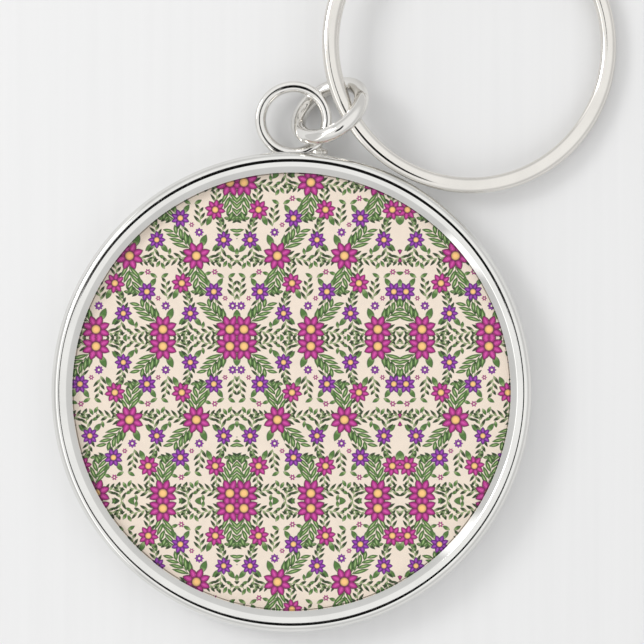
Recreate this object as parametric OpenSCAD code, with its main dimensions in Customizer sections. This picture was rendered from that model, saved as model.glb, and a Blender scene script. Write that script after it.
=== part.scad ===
// Round print keychain: a cast dish with a printed face, a wire hanging loop,
// a jump ring and a split key ring, lying flat on a table.
// Origin: centre of the dish's back face. +X right, +Y towards the loop, +Z out of the face.

/* [Pendant] */
// Outside diameter of the pendant
pendant_d = 50.8; // [45:0.1:60]
// Thickness of the pendant at the crest of its rim
pendant_t = 4.8; // [4.4:0.1:6]
// Radial width of the rim, outside the printed face
rim_w = 2.2; // [2:0.1:3]
// Thickness of the dish's floor
floor_t = 2.2; // [1.5:0.1:2.2]
// Plan width of the rim's outer crown, from its wall in to its crest
crown_w = 0.85; // [0.6:0.05:1]
// Height of the crown, from the top of its wall to its crest
crown_h = 1.0; // [0.6:0.05:1.2]

/* [Printed face] */
// Thickness of the adhesive pad
pad_t = 0.15; // [0.1:0.05:0.2]
// Thickness of the printed disc
print_t = 0.8; // [0.5:0.05:0.8]
// Thickness of the clear cover
cover_t = 1.0; // [0.6:0.05:1]

/* [Hanging loop] */
// Outside diameter of the loop
loop_d = 8.25; // [8:0.05:9]
// Diameter of the loop's wire
loop_wire = 1.2; // [1:0.05:1.3]
// How far the loop's foot goes into the rim
loop_sunk = 0.63; // [0.5:0.01:1.1]

/* [Jump ring] */
// Outside diameter of the jump ring
jump_d = 9.2; // [9.1:0.02:9.3]
// Diameter of the jump ring's wire
jump_wire = 1.6; // [1.5:0.05:1.6]
// Width of the butt seam where the wire's ends meet
jump_seam = 0.06; // [0.04:0.01:0.2]
// Slope of the jump ring's plane, as it leans in the loop
jump_tilt = 52; // [51:0.5:53]

/* [Key ring] */
// Outside diameter of the split ring
key_d = 31.86; // [31.5:0.02:32]
// Radial width of the ring's wire
key_wire_w = 1.64; // [1.5:0.02:1.7]
// Thickness of the ring's wire
key_wire_t = 1.05; // [1:0.01:1.1]
// Gap between the two turns
key_gap = 0.06; // [0.04:0.01:0.1]
// Sideways shift of one turn from the other
key_shift = 0.3; // [0:0.05:0.35]
// Slope of the key ring, which leans on the jump ring
key_tilt = 6.3; // [6.2:0.02:6.4]

/* [Hidden] */

silver = "#d9d8d2";
solder_grey = "#c4c1ba";
$fn = 96;

// Pendant
pendant_r = pendant_d / 2;
face_r = pendant_r - rim_w;
fit = 0.05;                       // radial clearance of what lies in the recess
base_round = 0.5;                 // round at the rim's bottom edge
recess_top = floor_t + pad_t + print_t + cover_t;
crest_w = 0.27;                   // narrow flat along the crest
crest_drop = 0.035;               // fall across that flat
shoulder_w = 0.47;                // from the flat in to the rim's inner edge
shoulder_drop = 0.165;            // fall from the flat to that edge; a sloped wall goes on to the face

// Loop: centre of its wire circle
loop_mean_r = (loop_d - loop_wire) / 2;
loop_centre = [0.2, pendant_r - loop_sunk + loop_d / 2, pendant_t / 2];

// Solder at the loop's right foot
solder_l = 2.7;
solder_r = 0.66;
solder_lump = 0.1;                // height of its lumps, as a part of its radius
solder_foot = [loop_centre[0] + 2.35, pendant_r + 0.02, loop_centre[2] - 0.1];
solder_turn = -6;                 // follows the rim's curve

// Jump ring: its lowest point rests on the table
jump_mean_r = (jump_d - jump_wire) / 2;
jump_turn = 37;                   // direction of the ring's level diameter, from +X
jump_centre = [4.05, 29.75, jump_mean_r * sin(jump_tilt) + jump_wire / 2];
jump_seam_at = 332;               // place of the seam round the wire

// Key ring: its right side rests on the table, its left side leans on the jump ring
key_pitch = key_wire_t + key_gap;
key_turn_r = (key_d - key_wire_w - key_shift) / 2;   // radius at the middle of the wire
key_low_r = (key_d - key_wire_t) / 2;
key_centre = [19, 36.85,
    key_low_r * sin(key_tilt) + key_pitch / 2 * cos(key_tilt) + key_wire_t / 2];
split_at = 18;                    // place of the upper turn's free end
split_gap = 1.5;                  // gap at each free end, in degrees
cross_span = 17;                  // length of the crossover, in degrees
cross_rings = 16;                 // sections along the crossover
cross_lap = 0.4;                  // how far the crossover runs into each turn, in degrees
cross_fit = 0.01;                 // how far the crossover's skin lies inside the turns'

// Points on an arc round c, from angle a to angle b; r holds its half width and half height
function arc(c, r, a, b, n = 12) =
    [for (i = [0:n]) let (t = a + (b - a) * i / n) c + [r[0] * cos(t), r[1] * sin(t)]];

// Half outline of the dish: radius and height
module frame_outline() {
    crest_r = pendant_r - crown_w - crest_w;
    crest_z = pendant_t - crest_drop;
    polygon(concat(
        [[0, 0]],
        arc([pendant_r - base_round, base_round], [base_round, base_round], -90, 0, 6),
        arc([pendant_r - crown_w, pendant_t - crown_h], [crown_w, crown_h], 0, 90),
        [[crest_r, crest_z], [crest_r - shoulder_w, crest_z - shoulder_drop],
         [face_r, recess_top], [face_r, floor_t], [0, floor_t]]
    ));
}

module frame_solid() rotate_extrude() frame_outline();

module loop_wire_solid()
    translate(loop_centre) rotate_extrude() translate([loop_mean_r, 0]) circle(d = loop_wire);

module pendant_frame() color(silver) difference() {
    frame_solid();
    loop_wire_solid();
}

module hanging_loop() color(silver) loop_wire_solid();

// A lumpy spindle of solder lies along the rim, over the loop's right foot
module loop_solder() color(solder_grey) {
    steps = 24;
    outline = [for (i = [0:steps]) let (t = 180 * i / steps - 90)
        [solder_r * cos(t) * (1 + solder_lump * cos(3 * t)), solder_l / 2 * sin(t)]];
    translate(solder_foot) rotate([0, 90, solder_turn]) rotate_extrude() polygon(outline);
}

module face_disc(r, z, t) translate([0, 0, z]) cylinder(r = r, h = t, $fn = 180);

module adhesive_pad() color("#e8e6df") face_disc(face_r - 0.6, floor_t, pad_t);

module print_disc() color("#e9d5bf") face_disc(face_r - fit, floor_t + pad_t, print_t);

module clear_cover() color("#f4f4f2", 0.3) face_disc(face_r - fit, floor_t + pad_t + print_t, cover_t);

// Lies in its own plane round the origin, seam included
module jump_ring_flat() {
    seam_angle = jump_seam / jump_mean_r * 180 / PI;
    rotate(jump_seam_at + seam_angle / 2)
        rotate_extrude(angle = 360 - seam_angle) translate([jump_mean_r, 0]) circle(d = jump_wire);
}

module jump_ring() color(silver)
    translate(jump_centre) rotate(jump_turn) rotate([-jump_tilt, 0, 0]) jump_ring_flat();

// Section of the key ring's wire: flat faces with half-round edges
module key_wire_section() {
    flat_w = key_wire_w - key_wire_t;
    square([flat_w, key_wire_t], center = true);
    for (side = [-1, 1]) translate([side * flat_w / 2, 0]) circle(d = key_wire_t);
}

// One turn of the key ring, from one angle to another
module key_turn(from, to, level) translate([-level * key_shift / 2, 0, level * key_pitch / 2])
    rotate(from) rotate_extrude(angle = to - from) translate([key_turn_r, 0]) key_wire_section();

// The crossover carries the wire from the lower turn up to the upper one, on a smooth ramp
module key_crossover(from, to) {
    flat_w = key_wire_w - key_wire_t;
    side_r = [1, 1] * (key_wire_t / 2 - cross_fit);
    section = concat(arc([flat_w / 2, 0], side_r, -90, 90, 8), arc([-flat_w / 2, 0], side_r, 90, 270, 8));
    n = len(section);
    function rise(t) = t * t * (3 - 2 * t);
    function ramp(i) = rise(min(1, max(0, i / cross_rings))) * 2 - 1;
    points = [for (i = [0:cross_rings]) for (p = section)
        let (level = ramp(i), a = from + (to - from) * i / cross_rings, r = key_turn_r + p[0])
        [r * cos(a) - level * key_shift / 2, r * sin(a), p[1] + level * key_pitch / 2]];
    sides = [for (i = [0:cross_rings - 1]) for (j = [0:n - 1])
        [i * n + j, i * n + (j + 1) % n, (i + 1) * n + (j + 1) % n, (i + 1) * n + j]];
    first = [for (j = [0:n - 1]) n - 1 - j];
    last = [for (j = [0:n - 1]) cross_rings * n + j];
    polyhedron(points = points, faces = concat(sides, [first], [last]), convexity = 4);
}

module key_ring() color(silver) translate(key_centre) rotate([0, key_tilt, 0]) {
    cross_from = split_at + split_gap;
    cross_to = cross_from + cross_span;
    key_turn(cross_to + split_gap - 360, cross_from, -1);
    key_crossover(cross_from - cross_lap, cross_to + cross_lap);
    key_turn(cross_to, split_at + 360, 1);
}

pendant_frame();
hanging_loop();
loop_solder();
adhesive_pad();
print_disc();
clear_cover();
jump_ring();
key_ring();
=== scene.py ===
"""Looks of a round print keychain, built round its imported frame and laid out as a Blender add-on.

Sizes are in metres. The frame's origin is the centre of the pendant's back face: +X right, +Y towards the
hanging loop, +Z out of the printed face.
"""

import math

import bmesh
import bpy
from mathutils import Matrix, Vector


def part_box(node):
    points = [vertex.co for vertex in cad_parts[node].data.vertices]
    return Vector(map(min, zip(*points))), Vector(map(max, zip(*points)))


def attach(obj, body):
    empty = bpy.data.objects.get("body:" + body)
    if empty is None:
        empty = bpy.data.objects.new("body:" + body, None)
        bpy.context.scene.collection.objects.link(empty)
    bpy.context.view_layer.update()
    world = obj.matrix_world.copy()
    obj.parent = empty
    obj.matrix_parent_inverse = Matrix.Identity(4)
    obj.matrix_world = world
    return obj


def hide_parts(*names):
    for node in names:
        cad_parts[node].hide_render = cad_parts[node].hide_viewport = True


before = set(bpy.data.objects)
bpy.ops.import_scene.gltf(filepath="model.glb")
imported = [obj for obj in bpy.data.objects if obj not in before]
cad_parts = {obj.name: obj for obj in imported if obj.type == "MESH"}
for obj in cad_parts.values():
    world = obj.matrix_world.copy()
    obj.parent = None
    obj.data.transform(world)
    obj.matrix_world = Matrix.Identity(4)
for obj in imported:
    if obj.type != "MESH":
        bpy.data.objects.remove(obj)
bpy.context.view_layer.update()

bl_info = {
    "name": "Round Print Keychain",
    "version": (1, 0, 0),
    "blender": (4, 5, 0),
    "location": "View3D > Sidebar > Keychain",
    "description": "Builds a metal pendant with a printed face, a loop, a jump ring and a split ring",
    "category": "Object",
}

MM = 0.001
DISH_LOW, DISH_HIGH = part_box("pendant_frame")
LOOP_LOW, LOOP_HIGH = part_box("hanging_loop")
SOLDER_LOW, SOLDER_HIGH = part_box("loop_solder")
PAD_LOW, PAD_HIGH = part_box("adhesive_pad")
PRINT_LOW, PRINT_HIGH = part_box("print_disc")
COVER_LOW, COVER_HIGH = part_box("clear_cover")
JUMP_LOW, JUMP_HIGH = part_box("jump_ring")
KEY_LOW, KEY_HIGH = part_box("key_ring")


def size_prop(name, description, default):
    return bpy.props.FloatProperty(name=name, description=description, default=default, subtype="DISTANCE",
                                   unit="LENGTH", precision=5)


def angle_prop(name, description, degrees):
    return bpy.props.FloatProperty(name=name, description=description, default=math.radians(degrees),
                                   subtype="ANGLE", unit="ROTATION")


def colour_prop(name, description, default):
    return bpy.props.FloatVectorProperty(name=name, description=description, default=default, subtype="COLOR",
                                         size=3, min=0.0, max=1.0)


# ---------------------------------------------------------------------------------------------- settings


class DishSettings(bpy.types.PropertyGroup):
    radius: size_prop("Radius", "Outside radius of the dish", DISH_HIGH.x)
    height: size_prop("Height", "Height of the rim's crest", DISH_HIGH.z)
    crown_width: size_prop("Crown width", "From the rim's outer wall in to its crest", 0.85 * MM)
    crown_height: size_prop("Crown height", "Rise of the crown above the rim's outer wall", 1.0 * MM)
    crest_width: size_prop("Crest width", "Plan width of the narrow flat along the crest", 0.27 * MM)
    crest_drop: size_prop("Crest drop", "Fall across that flat", 0.035 * MM)
    shoulder_width: size_prop("Shoulder width", "From the crest's flat in to the inner edge", 0.47 * MM)
    shoulder_drop: size_prop("Shoulder drop", "Fall from the crest's flat to the inner edge", 0.165 * MM)
    bevel_width: size_prop("Wall width", "Plan width of the sloped wall above the print", 0.63 * MM)
    face_height: size_prop("Face height", "Height of the cover at the foot of the sloped wall", COVER_HIGH.z)
    floor_height: size_prop("Floor height", "Top of the dish's floor", PAD_LOW.z)
    cover_lift: size_prop("Cover lift", "Gap between the print and the cover", 0.03 * MM)
    foot_round: size_prop("Foot round", "Round of the dish's bottom edge", 0.5 * MM)
    inner_round: size_prop("Inner round", "Round of the rim's inner edge", 0.07 * MM)
    crest_round: size_prop("Crest round", "Round of the crest flat's inner edge", 0.05 * MM)
    sheet_round: size_prop("Sheet round", "Round of the print's and the cover's top edges", 0.03 * MM)
    sheet_inset: size_prop("Sheet inset", "Width of each ring of faces round a sheet's flat faces", 0.3 * MM)


class WireSettings(bpy.types.PropertyGroup):
    loop_wire: size_prop("Loop wire", "Diameter of the hanging loop's wire", LOOP_HIGH.z - LOOP_LOW.z)
    loop_crest: size_prop("Loop crest", "How far the loop's crest lies outside its wire's middle", 0.17 * MM)
    loop_flat: size_prop("Loop flat", "Width of the flat along the loop's crest", 0.34 * MM)
    jump_wire: size_prop("Jump wire", "Diameter of the jump ring's wire", 1.6 * MM)
    jump_outer: size_prop("Jump ring size", "Outside diameter of the jump ring", 9.2 * MM)
    jump_tilt: angle_prop("Jump ring slope", "Slope of the jump ring's plane", 52)
    jump_turn: angle_prop("Jump ring direction", "Direction of its level diameter", 37)
    seam_at: angle_prop("Seam place", "Place of the butt seam round the jump ring", 332)
    seam: size_prop("Seam", "Width of the butt seam", 0.07 * MM)
    key_outer: size_prop("Key ring size", "Outside diameter of the key ring", 31.86 * MM)
    key_width: size_prop("Key wire width", "Radial width of the key ring's wire", 1.64 * MM)
    key_height: size_prop("Key wire height", "Thickness of the key ring's wire", 1.05 * MM)
    key_flat: size_prop("Key wire flat", "Width of the flat along the key ring's wire", 0.08 * MM)
    key_gap: size_prop("Turn gap", "Gap between the key ring's two turns", 0.06 * MM)
    key_shift: size_prop("Turn shift", "Sideways shift of one turn from the other", 0.3 * MM)
    key_tilt: angle_prop("Key ring slope", "Slope of the key ring's plane", 6.3)
    split_at: angle_prop("Split place", "Place of the upper turn's free end", 18)
    split_gap: angle_prop("Split gap", "Gap at each free end", 1.5)
    crossover: angle_prop("Crossover", "Length of the step between the turns", 17)


class PrintSettings(bpy.types.PropertyGroup):
    ground: colour_prop("Ground", "Cream ground of the print", (0.86, 0.745, 0.63))
    magenta: colour_prop("Magenta", "Body of the magenta petals", (0.44, 0.022, 0.235))
    magenta_light: colour_prop("Light magenta", "Middle of the magenta petals", (0.66, 0.075, 0.39))
    magenta_dark: colour_prop("Dark magenta", "Edges of the magenta petals", (0.10, 0.008, 0.045))
    purple: colour_prop("Purple", "Body of the purple petals", (0.21, 0.018, 0.31))
    purple_light: colour_prop("Light purple", "Middle of the purple petals", (0.38, 0.07, 0.50))
    purple_dark: colour_prop("Dark purple", "Edges of the purple petals", (0.06, 0.006, 0.09))
    gold: colour_prop("Gold", "Flower centres", (0.90, 0.53, 0.20))
    leaf: colour_prop("Leaf", "Body of the bright leaves", (0.075, 0.175, 0.035))
    leaf_edge: colour_prop("Leaf edge", "Edges of the bright leaves", (0.016, 0.04, 0.01))
    shade_leaf: colour_prop("Shade leaf", "Dark olive leaves", (0.03, 0.055, 0.016))
    pale_leaf: colour_prop("Pale leaf", "Pale feet and ribs of the leaves", (0.44, 0.58, 0.25))


class StudioSettings(bpy.types.PropertyGroup):
    view_x: size_prop("View X", "Middle of the view, to the right of the pendant's centre", 3.23 * MM)
    view_y: size_prop("View Y", "Middle of the view, above the pendant's centre", 7.38 * MM)
    view_width: size_prop("View width", "Width of the view at the pendant's rim", 68.15 * MM)
    lens: bpy.props.FloatProperty(name="Lens", description="Focal length, in millimetres", default=135.0)
    key_power: bpy.props.FloatProperty(name="Key power", description="Power of the key light", default=0.5)


# ------------------------------------------------------------------------------------------- mesh helpers


def deselect_all():
    if bpy.context.object and bpy.context.object.mode != "OBJECT":
        bpy.ops.object.mode_set(mode="OBJECT")
    bpy.ops.object.select_all(action="DESELECT")


def begin_edit(piece, mode="FACE"):
    """Opens the piece in edit mode with nothing selected."""
    deselect_all()
    piece.select_set(True)
    bpy.context.view_layer.objects.active = piece
    bpy.ops.object.mode_set(mode="EDIT")
    bpy.ops.mesh.select_mode(type=mode)
    bpy.ops.mesh.select_all(action="DESELECT")


def pick_faces(piece, test):
    """Selects the faces whose (centre, normal) pass the test, and only those."""
    bpy.ops.mesh.select_mode(type="FACE")
    bpy.ops.mesh.select_all(action="DESELECT")
    mesh = bmesh.from_edit_mesh(piece.data)
    for face in mesh.faces:
        face.select_set(bool(test(face.calc_center_median(), face.normal)))
    bmesh.update_edit_mesh(piece.data)


def pick_edges(piece, test):
    """Selects the edges whose two ends pass the test, and only those."""
    bpy.ops.mesh.select_mode(type="EDGE")
    bpy.ops.mesh.select_all(action="DESELECT")
    mesh = bmesh.from_edit_mesh(piece.data)
    for edge in mesh.edges:
        edge.select_set(bool(test(edge.verts[0].co, edge.verts[1].co)))
    bmesh.update_edit_mesh(piece.data)


def pick_verts(piece, test):
    """Selects the vertices that pass the test, and only those."""
    bpy.ops.mesh.select_mode(type="VERT")
    bpy.ops.mesh.select_all(action="DESELECT")
    mesh = bmesh.from_edit_mesh(piece.data)
    for vert in mesh.verts:
        vert.select_set(bool(test(vert.co)))
    mesh.select_flush_mode()
    bmesh.update_edit_mesh(piece.data)


def radius_of(point):
    return math.hypot(point.x, point.y)


def ring_edges(piece, radius, height, near=0.01 * MM):
    """Selects the circle of edges at a radius and a height."""
    def on_ring(point):
        return abs(radius_of(point) - radius) < near and abs(point.z - height) < near
    pick_edges(piece, lambda a, b: on_ring(a) and on_ring(b))


def settle(piece, place=Vector((0, 0, 0)), turns=()):
    """Leaves edit mode, turns the piece about the origin, moves it and keeps its place in its mesh."""
    deselect_all()
    piece.select_set(True)
    bpy.context.view_layer.objects.active = piece
    for axis, angle in turns:
        piece.rotation_euler = (0, 0, 0)
        setattr(piece.rotation_euler, axis, angle)
        bpy.ops.object.transform_apply(location=False, rotation=True, scale=False)
    piece.location = place
    bpy.ops.object.transform_apply(location=True, rotation=True, scale=True)


def clean(piece, merge=0.0005 * MM):
    begin_edit(piece, "VERT")
    bpy.ops.mesh.select_all(action="SELECT")
    bpy.ops.mesh.remove_doubles(threshold=merge)
    bpy.ops.mesh.normals_make_consistent(inside=False)
    bpy.ops.mesh.select_all(action="DESELECT")
    bpy.ops.object.mode_set(mode="OBJECT")


def dress(piece, name, material, body, nodes, smooth=40):
    """Names the finished piece, gives it its material and ties it to the frame."""
    piece.name = name
    piece.data.name = name
    deselect_all()
    piece.select_set(True)
    bpy.context.view_layer.objects.active = piece
    bpy.ops.object.shade_smooth_by_angle(angle=math.radians(smooth))
    piece.data.materials.clear()
    piece.data.materials.append(material)
    piece.select_set(False)
    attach(piece, body)
    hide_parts(*nodes)


def wire_section(radius, width, height, crest=0.0, flat=0.0, corners=32):
    """Adds a filled wire section standing at +X: an oval whose crest may lie off its middle, or, with a
    flat, half-round edges a flat apart."""
    bpy.ops.mesh.primitive_circle_add(vertices=corners, radius=0.5 * height, fill_type="NGON",
                                      rotation=(math.pi / 2, math.pi / corners, 0),
                                      location=(radius + crest, 0, 0))
    piece = bpy.context.active_object
    bpy.ops.object.transform_apply(location=True, rotation=True, scale=True)
    begin_edit(piece, "VERT")
    for side in (-1, 1):
        pick_verts(piece, lambda co: (co.x - radius - crest) * side > 1e-7)
        bpy.ops.transform.resize(value=((width - flat - side * 2 * crest) / height, 1, 1),
                                 center_override=(radius + crest, 0, 0))
        bpy.ops.transform.translate(value=(side * 0.5 * flat, 0, 0))
    bpy.ops.mesh.select_all(action="SELECT")
    return piece


def sweep(angle, steps, centre=(0, 0, 0)):
    """Spins the selected section round a vertical axis."""
    bpy.ops.mesh.spin(steps=steps, angle=angle, center=centre, axis=(0, 0, 1), dupli=False)


# --------------------------------------------------------------------------------------- material helpers


class Board:
    """A node tree that is wired up one node at a time."""

    def __init__(self, tree):
        self.tree = tree
        self.column = 0

    def node(self, kind, inputs=(), **settings):
        made = self.tree.nodes.new(kind)
        made.location = (self.column * 40 - 1200, -(self.column % 9) * 160)
        self.column += 1
        for key, value in settings.items():
            setattr(made, key, value)
        for key, value in dict(inputs).items():
            self.feed(made.inputs[key], value)
        return made

    def feed(self, socket, value):
        if isinstance(value, bpy.types.NodeSocket):
            self.tree.links.new(value, socket)
        elif value is not None:
            socket.default_value = value

    def math(self, operation, *values, clamp=False):
        made = self.node("ShaderNodeMath", operation=operation, use_clamp=clamp)
        for socket, value in zip(made.inputs, values):
            self.feed(socket, value)
        return made.outputs[0]

    def span(self, value, low, high, to_low=0.0, to_high=1.0, smooth=False):
        kind = "SMOOTHSTEP" if smooth else "LINEAR"
        made = self.node("ShaderNodeMapRange", interpolation_type=kind)
        for socket, item in zip(made.inputs, (value, low, high, to_low, to_high)):
            self.feed(socket, item)
        return made.outputs[0]

    def mix(self, factor, a, b, blend="MIX"):
        made = self.node("ShaderNodeMix", data_type="RGBA", blend_type=blend)
        self.feed(made.inputs["Factor"], factor)
        self.feed(made.inputs[6], a)
        self.feed(made.inputs[7], b)
        return made.outputs[2]

    def split(self, vector):
        made = self.node("ShaderNodeSeparateXYZ", {"Vector": vector})
        return made.outputs[0], made.outputs[1], made.outputs[2]

    def join(self, x, y, z=0.0):
        return self.node("ShaderNodeCombineXYZ", {"X": x, "Y": y, "Z": z}).outputs[0]

    def noise(self, vector, scale, detail=3.0, rough=0.5):
        made = self.node("ShaderNodeTexNoise", {"Vector": vector, "Scale": scale, "Detail": detail,
                                                "Roughness": rough})
        return made.outputs["Fac"]


def rgba(colour, gain=1.0):
    return (colour[0] * gain, colour[1] * gain, colour[2] * gain, 1.0)


def new_material(name):
    material = bpy.data.materials.new(name)
    material.use_nodes = True
    board = Board(material.node_tree)
    shader = material.node_tree.nodes["Principled BSDF"]
    return material, board, shader


def plated_metal(name, tint, rough, scratch_scale=1.0):
    """Bright plating: faint clouding, hairline scratches and a slightly uneven polish."""
    material, board, shader = new_material(name)
    place = board.node("ShaderNodeTexCoord").outputs["Object"]
    cloud = board.noise(place, 220.0, 4.0)
    grain = board.noise(place, 5200.0, 3.0, 0.6)
    stretched = board.node("ShaderNodeMapping", {"Vector": place, "Rotation": (0.3, 0.2, 0.9),
                                                 "Scale": (9000.0, 420.0, 900.0)})
    hairs = board.noise(stretched.outputs[0], scratch_scale, 2.0, 0.5)
    hair_mask = board.span(hairs, 0.62, 0.75)
    board.feed(shader.inputs["Base Color"],
               board.mix(board.span(cloud, 0.35, 0.7), rgba(tint), rgba(tint, 0.93)))
    polish = board.span(cloud, 0.3, 0.7, rough * 0.85, rough * 1.25)
    board.feed(shader.inputs["Roughness"], board.math("MULTIPLY_ADD", hair_mask, 0.06, polish))
    bump = board.node("ShaderNodeBump", {"Strength": 0.05, "Distance": 0.01 * MM,
                                         "Height": board.math("SUBTRACT", grain, hair_mask)})
    board.feed(shader.inputs["Normal"], bump.outputs[0])
    shader.inputs["Metallic"].default_value = 1.0
    return material


# ----------------------------------------------------------------------------------------- the print


LATTICE_X, LATTICE_Y = 7.1, 7.8      # spacing of the repeat, in millimetres; each row is half a step along
MIRROR = 17.3                        # side of the square that the repeat is mirrored across
MIRROR_AT = (-5.8, 5.7)              # where two mirror lines cross


def wrapped(board, x, y, centre):
    """Coordinates round the nearest copy of a group, on the offset lattice."""
    across = board.math("SUBTRACT", x, centre[0])
    up = board.math("SUBTRACT", y, centre[1])
    row = board.math("ROUND", board.math("DIVIDE", up, LATTICE_Y))
    across = board.math("MULTIPLY_ADD", row, -0.5 * LATTICE_X, across)
    across = board.math("WRAP", across, 0.5 * LATTICE_X, -0.5 * LATTICE_X)
    up = board.math("MULTIPLY_ADD", row, -LATTICE_Y, up)
    return board.join(across, up)


def facing(board, place, at, heading, scale=(1.0, 1.0)):
    """Coordinates from a point, with X along the heading."""
    turned = board.node("ShaderNodeMapping", {"Vector": place, "Location": (at[0], at[1], 0),
                                              "Rotation": (0, 0, math.radians(heading)),
                                              "Scale": (scale[0], scale[1], 1)}, vector_type="TEXTURE")
    x, y, _ = board.split(turned.outputs[0])
    return x, y


def leaf_shape(board, along, across):
    """A leaf from 0 to 1 along its rib: 1 on the rib, 0 at the edge, negative outside."""
    middle = board.math("MULTIPLY_ADD", along, 2.0, -1.0)
    bulge = board.math("SUBTRACT", 1.0, board.math("MULTIPLY", middle, middle))
    return board.math("SUBTRACT", bulge, board.math("ABSOLUTE", across))


def single_leaf(board, place, at, heading, length, width):
    along, across = facing(board, place, at, heading, (length, 0.5 * width))
    return leaf_shape(board, along, across), along


def branch(board, place, at, heading, length, leaves, leaf, spread=38, bend=0.0):
    """A curved stem with leaves on alternate sides, shorter towards its tip."""
    along, across = facing(board, place, at, heading)
    across = board.math("MULTIPLY_ADD", board.math("MULTIPLY", along, along), bend, across)
    side, off = board.math("SIGN", across), board.math("ABSOLUTE", across)
    spread = math.radians(spread)
    pitch = length / leaves
    place_on_stem = board.math("MULTIPLY_ADD", off, -1.0 / math.tan(spread), along)
    place_on_stem = board.math("MULTIPLY_ADD", side, 0.25 * pitch, place_on_stem)
    slip = board.math("WRAP", place_on_stem, 0.5 * pitch, -0.5 * pitch)
    foot = board.math("SUBTRACT", place_on_stem, slip)
    grown = board.math("MULTIPLY", board.span(foot, 0.0, length, leaf[0], 0.62 * leaf[0]),
                       board.math("COMPARE", foot, 0.5 * length, 0.5 * length + 0.2 * pitch))
    reach = board.math("MULTIPLY_ADD", slip, math.cos(spread),
                       board.math("MULTIPLY", off, 1.0 / math.sin(spread)))
    reach = board.math("DIVIDE", reach, board.math("MAXIMUM", grown, 0.001))
    field = leaf_shape(board, reach, board.math("MULTIPLY", slip, 2.0 * math.sin(spread) / leaf[1]))
    field = board.math("SUBTRACT", field, board.math("MULTIPLY", board.math("LESS_THAN", grown, 0.001), 4.0))
    stem = board.math("SUBTRACT", 0.5, board.math("MULTIPLY", off, 16.0))
    stem = board.math("SUBTRACT", stem, board.math("MULTIPLY", 4.0, board.math(
        "SUBTRACT", 1.0, board.math("COMPARE", along, 0.55 * length, 0.55 * length))))
    return board.math("MAXIMUM", field, stem), reach


def lay_leaves(board, under, field, along, foot, tip, edge, rib=None):
    """Prints leaves over a colour: a dark edge round a body that shades from its foot to its tip."""
    body = board.mix(board.span(along, 0.0, 0.5), rgba(foot), rgba(tip))
    if rib:
        body = board.mix(board.span(field, 0.62, 0.95), body, rgba(rib))
    body = board.mix(board.span(field, 0.0, 0.3), rgba(edge), body)
    return board.mix(board.span(field, -0.12, 0.1), under, body)


def lay_flower(board, under, place, at, size, colour, light, dark, gold, petals=8, turn=0.0, core=0.29):
    """Prints one flower over a colour: pointed petals with dark edges round a golden heart."""
    radius = 0.5 * size
    x, y = facing(board, place, at, turn, (radius, radius))
    reach = board.math("SQRT", board.math("MULTIPLY_ADD", x, x, board.math("MULTIPLY", y, y)))
    sector = 2 * math.pi / petals
    bearing = board.math("WRAP", board.math("ARCTAN2", y, x), 0.5 * sector, -0.5 * sector)
    along = board.math("MULTIPLY", reach, board.math("COSINE", bearing))
    over = board.math("ABSOLUTE", board.math("MULTIPLY", reach, board.math("SINE", bearing)))
    along = board.math("MULTIPLY_ADD", along, 2.27, -1.27)
    bulge = board.math("SUBTRACT", 1.0, board.math("MULTIPLY", along, along))
    field = board.math("SUBTRACT", bulge, board.math("DIVIDE", over, 0.255))
    petal = board.mix(board.span(field, 0.12, 0.5), rgba(dark), rgba(colour))
    petal = board.mix(board.span(field, 0.55, 0.95), petal, rgba(light))
    petal = board.mix(board.span(reach, core, core + 0.16), rgba(dark), petal)
    laid = board.mix(board.span(field, -0.1, 0.08), under, petal)
    glow = [min(1.0, part * 1.12) for part in gold]
    heart = board.mix(board.span(reach, core * 0.4, core), rgba(glow), rgba(gold, 0.7))
    return board.mix(board.span(reach, core + 0.02, core - 0.05), laid, heart)


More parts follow.
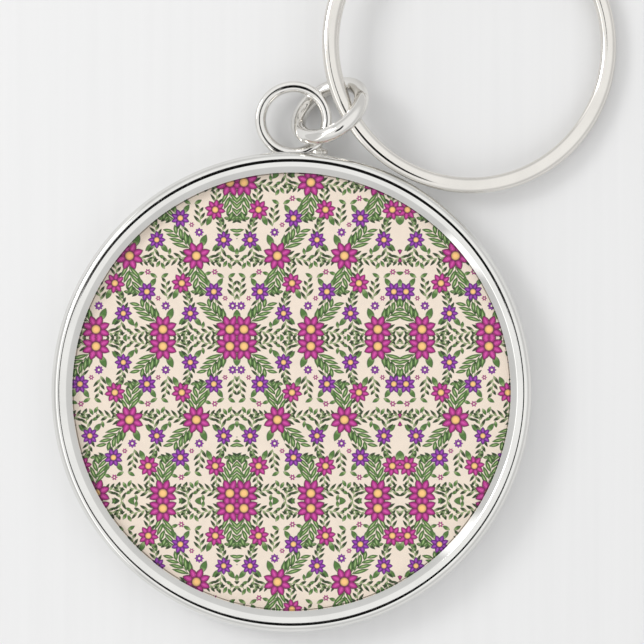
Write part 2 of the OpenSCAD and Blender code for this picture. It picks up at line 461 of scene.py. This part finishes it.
def printed_sheet(ink):
    """The print: a small floral on cream, repeated on an offset lattice and mirrored in squares."""
    material, board, shader = new_material("printed_sheet")
    place = board.node("ShaderNodeTexCoord").outputs["Object"]
    x, y, _ = board.split(place)
    x = board.math("PINGPONG", board.math("MULTIPLY_ADD", x, 1000.0, -MIRROR_AT[0]), MIRROR)
    y = board.math("PINGPONG", board.math("MULTIPLY_ADD", y, 1000.0, -MIRROR_AT[1]), MIRROR)

    bouquet = wrapped(board, x, y, (0.75, 0.9))
    garland = wrapped(board, x, y, (1.15, 5.3))
    scatter = wrapped(board, x, y, (4.65, 2.5))

    mottle = board.noise(place, 900.0, 3.0)
    colour = board.mix(board.span(mottle, 0.35, 0.65), rgba(ink.ground, 0.97), rgba(ink.ground))

    pale = (ink.pale_leaf, ink.leaf, ink.shade_leaf)
    dark = (ink.pale_leaf, ink.shade_leaf, ink.leaf_edge)
    bright = (ink.leaf, ink.leaf, ink.leaf_edge, ink.pale_leaf)
    for group, at, heading, length, width in (
            (scatter, (-0.9, 1.9), 70, 0.8, 0.38), (scatter, (-0.5, 2.3), 10, 0.8, 0.38),
            (scatter, (-1.0, -1.5), 100, 0.75, 0.36), (scatter, (-0.6, -1.9), 30, 0.75, 0.36),
            (garland, (-0.6, 2.0), 60, 0.8, 0.38), (garland, (0.3, 2.2), 120, 0.8, 0.38),
            (garland, (-0.2, 1.1), 150, 0.9, 0.4), (garland, (0.2, 1.1), 30, 0.9, 0.4),
            (garland, (2.3, 1.4), 160, 0.8, 0.38), (garland, (2.7, 1.4), 20, 0.8, 0.38),
            (garland, (-2.8, -0.1), -115, 1.2, 0.58), (garland, (-2.0, -0.1), -65, 1.2, 0.58),
            (garland, (1.0, 0.1), 125, 1.15, 0.54), (garland, (1.7, 0.1), 60, 1.15, 0.54),
            (scatter, (-0.1, -0.3), -130, 1.2, 0.56), (scatter, (0.6, -0.3), -40, 1.2, 0.56),
            (bouquet, (-0.45, 0.9), 114, 1.5, 0.72), (bouquet, (0.45, 0.9), 66, 1.5, 0.72)):
        colour = lay_leaves(board, colour, *single_leaf(board, group, at, heading, length, width), *pale)
    for group, at, heading, length, leaves, leaf, bend in (
            (bouquet, (1.0, -0.1), -6, 2.3, 3, (1.2, 0.31), 0.04),
            (bouquet, (-1.0, -0.2), 200, 1.3, 2, (1.1, 0.29), 0.04),
            (garland, (-2.5, 1.1), 95, 1.4, 2, (1.05, 0.29), 0.05),
            (garland, (-0.85, -1.1), 86, 1.5, 2, (1.1, 0.31), 0.0),
            (garland, (1.9, -0.4), 5, 1.3, 2, (1.0, 0.3), 0.0),
            (garland, (1.2, -1.0), -98, 1.5, 2, (1.05, 0.29), 0.06),
            (scatter, (0.3, 0.6), 82, 1.4, 2, (1.0, 0.3), 0.06),
            (scatter, (0.5, -0.6), -82, 1.5, 2, (1.1, 0.31), -0.05)):
        sprig = branch(board, group, at, heading, length, leaves, leaf, bend=bend)
        colour = lay_leaves(board, colour, *sprig, *dark)
    for at, heading, length in (((0.05, -0.9), -96, 2.4), ((0.7, 0.7), 52, 2.3)):
        sprig = branch(board, bouquet, at, heading, length, 3, (1.8, 0.43), 34, 0.03)
        colour = lay_leaves(board, colour, *sprig, *bright)

    magenta = (ink.magenta, ink.magenta_light, ink.magenta_dark)
    purple = (ink.purple, ink.purple_light, ink.purple_dark)
    for group, at, size, inks, heart, petals, turn in (
            (garland, (1.3, -0.4), 2.05, purple, ink.gold, 8, 22.5),
            (garland, (-2.4, 0.5), 2.25, magenta, ink.gold, 8, 10),
            (scatter, (0.3, 0.1), 1.9, purple, ink.gold, 8, 0),
            (bouquet, (-0.3, 2.5), 1.0, purple, ink.ground, 8, 0),
            (bouquet, (0.5, 3.3), 0.6, magenta, ink.ground, 6, 0),
            (garland, (1.2, 1.7), 0.7, magenta, ink.ground, 6, 0),
            (bouquet, (0.0, 0.0), 3.15, magenta, ink.gold, 8, 22.5)):
        colour = lay_flower(board, colour, group, at, size, *inks, heart, petals, turn)

    board.feed(shader.inputs["Base Color"], colour)
    tooth = board.noise(place, 9000.0, 2.0)
    board.feed(shader.inputs["Roughness"], board.span(tooth, 0.3, 0.7, 0.42, 0.52))
    bump = board.node("ShaderNodeBump", {"Strength": 0.04, "Distance": 0.005 * MM, "Height": tooth})
    board.feed(shader.inputs["Normal"], bump.outputs[0])
    shader.inputs["Specular IOR Level"].default_value = 0.08
    return material


# -------------------------------------------------------------------------------------------- the pieces


def set_material(name):
    return bpy.data.materials[name]


class KEYCHAIN_OT_finishes(bpy.types.Operator):
    """Make the materials that the pieces share"""

    bl_idname = "keychain.finishes"
    bl_label = "Finishes"

    def execute(self, context):
        plated_metal("polished_dish", (0.82, 0.815, 0.79), 0.06)
        plated_metal("polished_wire", (0.82, 0.805, 0.775), 0.06)
        plated_metal("spring_wire", (0.82, 0.795, 0.75), 0.08)
        plated_metal("soft_solder", (0.70, 0.68, 0.64), 0.18)
        printed_sheet(context.scene.keychain_print)
        clear, board, shader = new_material("clear_polish")
        place = board.node("ShaderNodeTexCoord").outputs["Object"]
        wave = board.noise(place, 160.0, 2.0)
        board.feed(shader.inputs["Roughness"], board.span(wave, 0.3, 0.7, 0.05, 0.1))
        shader.inputs["Base Color"].default_value = (0.95, 0.95, 0.94, 1)
        shader.inputs["Alpha"].default_value = 0.015
        pad, board, shader = new_material("adhesive_foam")
        place = board.node("ShaderNodeTexCoord").outputs["Object"]
        cells = board.noise(place, 3000.0, 3.0)
        board.feed(shader.inputs["Base Color"],
                   board.mix(cells, (0.75, 0.74, 0.70, 1), (0.86, 0.85, 0.81, 1)))
        shader.inputs["Roughness"].default_value = 0.8
        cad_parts["adhesive_pad"].data.materials.clear()
        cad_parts["adhesive_pad"].data.materials.append(pad)
        return {"FINISHED"}


class KEYCHAIN_OT_dish(bpy.types.Operator):
    """Make the cast dish with its rounded rim"""

    bl_idname = "keychain.dish"
    bl_label = "Dish"

    def execute(self, context):
        dish = context.scene.keychain_dish
        wall = dish.height - dish.crown_height + dish.crown_width
        deselect_all()
        bpy.ops.mesh.primitive_cylinder_add(vertices=320, radius=dish.radius, depth=wall,
                                            location=(0, 0, 0.5 * wall))
        piece = bpy.context.active_object
        bpy.ops.object.transform_apply(location=True, rotation=True, scale=True)
        begin_edit(piece)
        ring_edges(piece, dish.radius, wall)
        bpy.ops.mesh.bevel(offset=dish.crown_width, segments=20, profile=0.5, affect="EDGES")
        shoulder = wall - dish.crown_width
        pick_verts(piece, lambda co: co.z > shoulder + 1e-7)
        bpy.ops.transform.resize(value=(1, 1, dish.crown_height / dish.crown_width),
                                 center_override=(0, 0, shoulder))
        top = dish.height - 0.01 * MM
        pick_faces(piece, lambda c, n: c.z > top and n.z > 0.99 and radius_of(c) < 0.1 * MM)
        inner_height = dish.height - dish.crest_drop - dish.shoulder_drop
        for inset, drop in ((dish.crest_width, dish.crest_drop), (dish.shoulder_width, dish.shoulder_drop),
                            (dish.bevel_width, inner_height - dish.face_height)):
            bpy.ops.mesh.inset(thickness=inset, depth=0)
            bpy.ops.transform.translate(value=(0, 0, -drop))
        bpy.ops.mesh.extrude_region_move(
            TRANSFORM_OT_translate={"value": (0, 0, dish.floor_height - dish.face_height)})
        crest = dish.radius - dish.crown_width
        ring_edges(piece, crest - dish.crest_width - dish.shoulder_width, inner_height)
        bpy.ops.mesh.bevel(offset=dish.inner_round, segments=5, profile=0.5, affect="EDGES")
        ring_edges(piece, crest - dish.crest_width, dish.height - dish.crest_drop)
        bpy.ops.mesh.bevel(offset=dish.crest_round, segments=4, profile=0.5, affect="EDGES")
        ring_edges(piece, dish.radius, 0)
        bpy.ops.mesh.bevel(offset=dish.foot_round, segments=10, profile=0.5, affect="EDGES")
        clean(piece)
        dress(piece, "dish_casting", set_material("polished_dish"), "pendant",
              ["pendant_frame"])
        return {"FINISHED"}


class KEYCHAIN_OT_face(bpy.types.Operator):
    """Make the printed disc and the clear cover over it"""

    bl_idname = "keychain.face"
    bl_label = "Printed face"

    def execute(self, context):
        dish = context.scene.keychain_dish
        lift = Vector((0, 0, dish.cover_lift))
        for name, low, high in (("printed_face", PRINT_LOW, PRINT_HIGH),
                                ("cover_sheet", COVER_LOW + lift, COVER_HIGH)):
            deselect_all()
            bpy.ops.mesh.primitive_cylinder_add(vertices=256, radius=high.x, depth=high.z - low.z,
                                                location=(0, 0, 0.5 * (low.z + high.z)))
            piece = bpy.context.active_object
            bpy.ops.object.transform_apply(location=True, rotation=True, scale=True)
            begin_edit(piece)
            ring_edges(piece, high.x, high.z)
            bpy.ops.mesh.bevel(offset=dish.sheet_round, segments=3, profile=0.5, affect="EDGES")
            pick_faces(piece, lambda c, n: abs(n.z) > 0.99 and radius_of(c) < 0.1 * MM)
            for _ in range(2):
                bpy.ops.mesh.inset(thickness=dish.sheet_inset, depth=0)
            clean(piece)
            if name == "printed_face":
                dress(piece, name, set_material("printed_sheet"), "pendant", ["print_disc"])
            else:
                dress(piece, name, set_material("clear_polish"), "pendant", ["clear_cover"])
        return {"FINISHED"}


class KEYCHAIN_OT_loop(bpy.types.Operator):
    """Make the hanging loop and the solder at its foot"""

    bl_idname = "keychain.loop"
    bl_label = "Hanging loop"

    def execute(self, context):
        settings = context.scene.keychain_wire
        wire = settings.loop_wire
        centre = 0.5 * (LOOP_LOW + LOOP_HIGH)
        outer = 0.5 * (LOOP_HIGH.x - LOOP_LOW.x)
        deselect_all()
        piece = wire_section(outer - 0.5 * wire, wire, wire, settings.loop_crest, settings.loop_flat,
                             corners=64)
        sweep(2 * math.pi - 0.001, 192)
        bpy.ops.mesh.delete(type="FACE")
        pick_faces(piece, lambda c, n: abs(n.y) > 0.99 and abs(c.y) < 1e-6)
        bpy.ops.mesh.delete(type="FACE")
        clean(piece, 0.02 * MM)
        settle(piece, centre)
        dress(piece, "loop_wire", set_material("polished_wire"), "pendant", ["hanging_loop"])
        self.solder()
        return {"FINISHED"}

    def solder(self):
        middle = 0.5 * (SOLDER_LOW + SOLDER_HIGH)
        span = SOLDER_HIGH - SOLDER_LOW
        deselect_all()
        bpy.ops.mesh.primitive_uv_sphere_add(segments=48, ring_count=32, radius=0.5 * span.x,
                                             location=(0, 0, 0), rotation=(0, math.pi / 2, 0))
        piece = bpy.context.active_object
        bpy.ops.object.transform_apply(location=True, rotation=True, scale=True)
        begin_edit(piece)
        bpy.ops.mesh.select_all(action="SELECT")
        bpy.ops.transform.resize(value=(1, span.y / span.x, span.z / span.x), center_override=(0, 0, 0))
        mesh = bmesh.from_edit_mesh(piece.data)
        for vert in mesh.verts:
            along = vert.co.x / (0.5 * span.x)
            swell = 1.0 - 0.16 * math.sin(7.0 * along) ** 2
            vert.co.y *= swell
            vert.co.z *= swell
        bmesh.update_edit_mesh(piece.data)
        settle(piece, middle)
        dress(piece, "solder_foot", set_material("soft_solder"), "pendant", ["loop_solder"])


class KEYCHAIN_OT_jump_ring(bpy.types.Operator):
    """Make the jump ring with its butt seam"""

    bl_idname = "keychain.jump_ring"
    bl_label = "Jump ring"

    def execute(self, context):
        wire = context.scene.keychain_wire
        middle_radius = 0.5 * (wire.jump_outer - wire.jump_wire)
        seam = wire.seam / middle_radius
        deselect_all()
        piece = wire_section(middle_radius, wire.jump_wire, wire.jump_wire)
        sweep(2 * math.pi - seam, 220)
        clean(piece)
        begin_edit(piece)
        near = 0.2 * MM
        pick_faces(piece, lambda c, n: abs(n.x * c.y - n.y * c.x) > 0.9 * radius_of(c) and c.x > 0
                   and abs(c.y) < near and abs(radius_of(c) - middle_radius) < near and abs(n.z) < 0.1)
        bpy.ops.mesh.inset(thickness=0.05 * MM, depth=0.02 * MM)
        settle(piece, 0.5 * (JUMP_LOW + JUMP_HIGH),
               (("z", wire.seam_at), ("x", -wire.jump_tilt), ("z", wire.jump_turn)))
        dress(piece, "jump_wire", set_material("polished_wire"), "jump_link", ["jump_ring"])
        return {"FINISHED"}


class KEYCHAIN_OT_key_ring(bpy.types.Operator):
    """Make the split key ring: one wire wound twice, with a crossover"""

    bl_idname = "keychain.key_ring"
    bl_label = "Key ring"

    def execute(self, context):
        wire = context.scene.keychain_wire
        radius = 0.5 * (wire.key_outer - wire.key_width - wire.key_shift)
        pitch = wire.key_height + wire.key_gap
        low_turn = 2 * math.pi - wire.crossover - wire.split_gap
        start = wire.split_at + wire.split_gap - low_turn
        slide = Vector((-math.cos(start), math.sin(start), 0)) * wire.key_shift + Vector((0, 0, pitch))
        deselect_all()
        piece = wire_section(radius, wire.key_width, wire.key_height, flat=wire.key_flat)
        sweep(low_turn, 240)
        steps = 24
        risen = 0.0
        for step in range(1, steps + 1):
            part = step / steps
            rise = part * part * (3 - 2 * part)
            sweep(wire.crossover / steps, 1, slide * risen)
            bpy.ops.transform.translate(value=slide * (rise - risen))
            risen = rise
        sweep(2 * math.pi - wire.crossover - wire.split_gap, 240, slide)
        clean(piece)
        settle(piece, Vector((0.5 * wire.key_shift, 0, -0.5 * pitch)), (("z", start),))
        settle(piece, 0.5 * (KEY_LOW + KEY_HIGH), (("y", wire.key_tilt),))
        dress(piece, "split_ring_wire", set_material("spring_wire"), "split_ring", ["key_ring"])
        return {"FINISHED"}


class KEYCHAIN_OT_studio(bpy.types.Operator):
    """Make the table, the lights and the camera"""

    bl_idname = "keychain.studio"
    bl_label = "Studio"

    def execute(self, context):
        studio = context.scene.keychain_studio
        self.table()
        self.sky(context.scene)
        self.lamp(studio)
        self.camera(context.scene, studio)
        context.scene.view_settings.view_transform = "Standard"
        return {"FINISHED"}

    def table(self):
        deselect_all()
        bpy.ops.mesh.primitive_plane_add(size=1.2, location=(0, 0, -0.02 * MM))
        top = bpy.context.active_object
        top.name = "table_top"
        material, board, shader = new_material("pale_table")
        place = board.node("ShaderNodeTexCoord").outputs["Object"]
        streaks = board.node("ShaderNodeMapping", {"Vector": place, "Scale": (900.0, 18.0, 1.0)})
        grain = board.noise(streaks.outputs[0], 1.0, 3.0)
        board.feed(shader.inputs["Base Color"],
                   board.mix(grain, (0.80, 0.80, 0.80, 1), (0.84, 0.84, 0.84, 1)))
        shader.inputs["Roughness"].default_value = 0.7
        shader.inputs["Specular IOR Level"].default_value = 0.1
        top.data.materials.append(material)

    def sky(self, scene):
        world = bpy.data.worlds.new("soft_box")
        world.use_nodes = True
        scene.world = world
        board = Board(world.node_tree)
        background = world.node_tree.nodes["Background"]
        way = board.node("ShaderNodeTexCoord").outputs["Generated"]
        x, y, z = board.split(way)
        low_light, high_light, window_light = 0.70, 1.02, 0.7
        level = board.span(z, 0.38, 0.76, low_light, high_light, smooth=True)
        window = board.math("MULTIPLY", board.span(x, -0.62, -0.66), board.span(x, -0.78, -0.74))
        window = board.math("MULTIPLY", window, board.span(z, 0.05, 0.3))
        level = board.math("MULTIPLY_ADD", window, window_light, level)
        # The dark patch overhead is broad in front and narrows to a neck behind
        body, neck = 0.19, 0.065
        wide = board.math("DIVIDE", board.math("ADD", x, 0.03), board.span(y, -0.11, -0.05, body, neck))
        long = board.math("DIVIDE", board.math("ADD", y, 0.15), 0.275)
        wide = board.math("POWER", board.math("ABSOLUTE", wide), 4.0)
        long = board.math("POWER", board.math("ABSOLUTE", long), 4.0)
        patch = board.span(board.math("ADD", wide, long), 1.15, 0.85)
        gap = board.math("MULTIPLY", patch, board.span(z, 0.0, 0.1))
        board.feed(background.inputs["Color"], board.mix(gap, (1.0, 1.0, 1.0, 1), (0.008, 0.008, 0.008, 1)))
        board.feed(background.inputs["Strength"], level)

    def lamp(self, studio):
        place = Vector((-0.30, 0.16, 0.34))
        deselect_all()
        bpy.ops.object.light_add(type="AREA", location=place)
        lamp = bpy.context.active_object
        lamp.name = "key_light"
        lamp.data.shape = "SQUARE"
        lamp.data.size = 0.16
        lamp.data.energy = studio.key_power
        lamp.rotation_euler = (-place).to_track_quat("-Z", "Y").to_euler()

    def camera(self, scene, studio):
        deselect_all()
        sensor = 36.0
        distance = 0.5 * studio.view_width / (0.5 * sensor / studio.lens)
        height = DISH_HIGH.z * 0.8 + distance
        bpy.ops.object.camera_add(location=(studio.view_x, studio.view_y, height), rotation=(0, 0, 0))
        camera = bpy.context.active_object
        camera.data.lens = studio.lens
        camera.data.sensor_width = sensor
        camera.data.clip_start = 0.01
        scene.camera = camera


class KEYCHAIN_PT_panel(bpy.types.Panel):
    """Lists the keychain's pieces"""

    bl_label = "Keychain"
    bl_space_type = "VIEW_3D"
    bl_region_type = "UI"
    bl_category = "Keychain"

    def draw(self, context):
        for operator in PIECES:
            self.layout.operator(operator.bl_idname)


PIECES = (KEYCHAIN_OT_finishes, KEYCHAIN_OT_dish, KEYCHAIN_OT_face, KEYCHAIN_OT_loop, KEYCHAIN_OT_jump_ring,
          KEYCHAIN_OT_key_ring, KEYCHAIN_OT_studio)
SETTINGS = {"keychain_dish": DishSettings, "keychain_wire": WireSettings, "keychain_print": PrintSettings,
            "keychain_studio": StudioSettings}


def register():
    for name, group in SETTINGS.items():
        bpy.utils.register_class(group)
        setattr(bpy.types.Scene, name, bpy.props.PointerProperty(type=group))
    for operator in PIECES:
        bpy.utils.register_class(operator)
    bpy.utils.register_class(KEYCHAIN_PT_panel)


def unregister():
    bpy.utils.unregister_class(KEYCHAIN_PT_panel)
    for operator in reversed(PIECES):
        bpy.utils.unregister_class(operator)
    for name, group in SETTINGS.items():
        delattr(bpy.types.Scene, name)
        bpy.utils.unregister_class(group)


def main():
    register()
    for operator in PIECES:
        group, name = operator.bl_idname.split(".")
        getattr(getattr(bpy.ops, group), name)()


if __name__ == "__main__":
    main()
